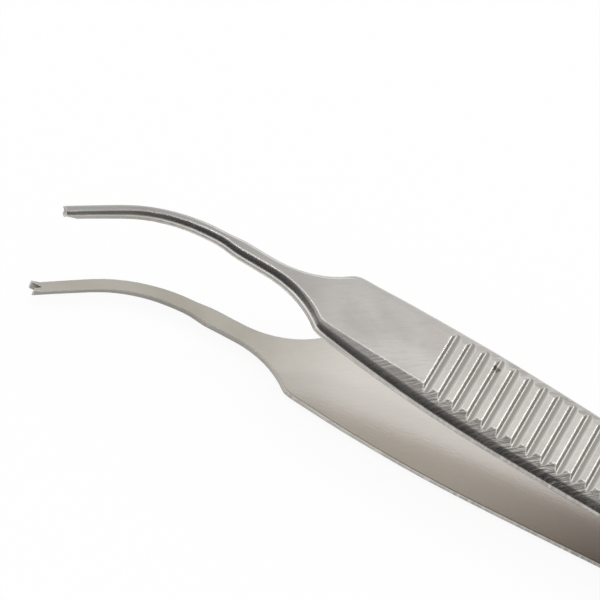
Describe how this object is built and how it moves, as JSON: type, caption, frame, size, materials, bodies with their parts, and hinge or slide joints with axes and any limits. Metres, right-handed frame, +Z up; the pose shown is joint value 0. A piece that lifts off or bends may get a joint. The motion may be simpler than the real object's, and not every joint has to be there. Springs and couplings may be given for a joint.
{
  "type": "thumb forceps",
  "caption": "Small sprung forceps with slender sideways-curved jaws, interlocking teeth at the tips and a ribbed grip, for lifting and holding tissue.",
  "frame": {"origin": "middle of the ribbed grip of the lower blade, on its outer face, which lies on the table", "axes": "+X from the jaw tips to the welded heel, +Z up from the lower blade to the upper one, +Y across the blades; the jaws curve towards -Y"},
  "size_m": [0.0924, 0.0102, 0.0097],
  "materials": {
    "steel": "satin"
  },
  "bodies": {
    "root": {"upper_blade": "steel", "lower_blade": "steel"}
  },
  "joints": []
}
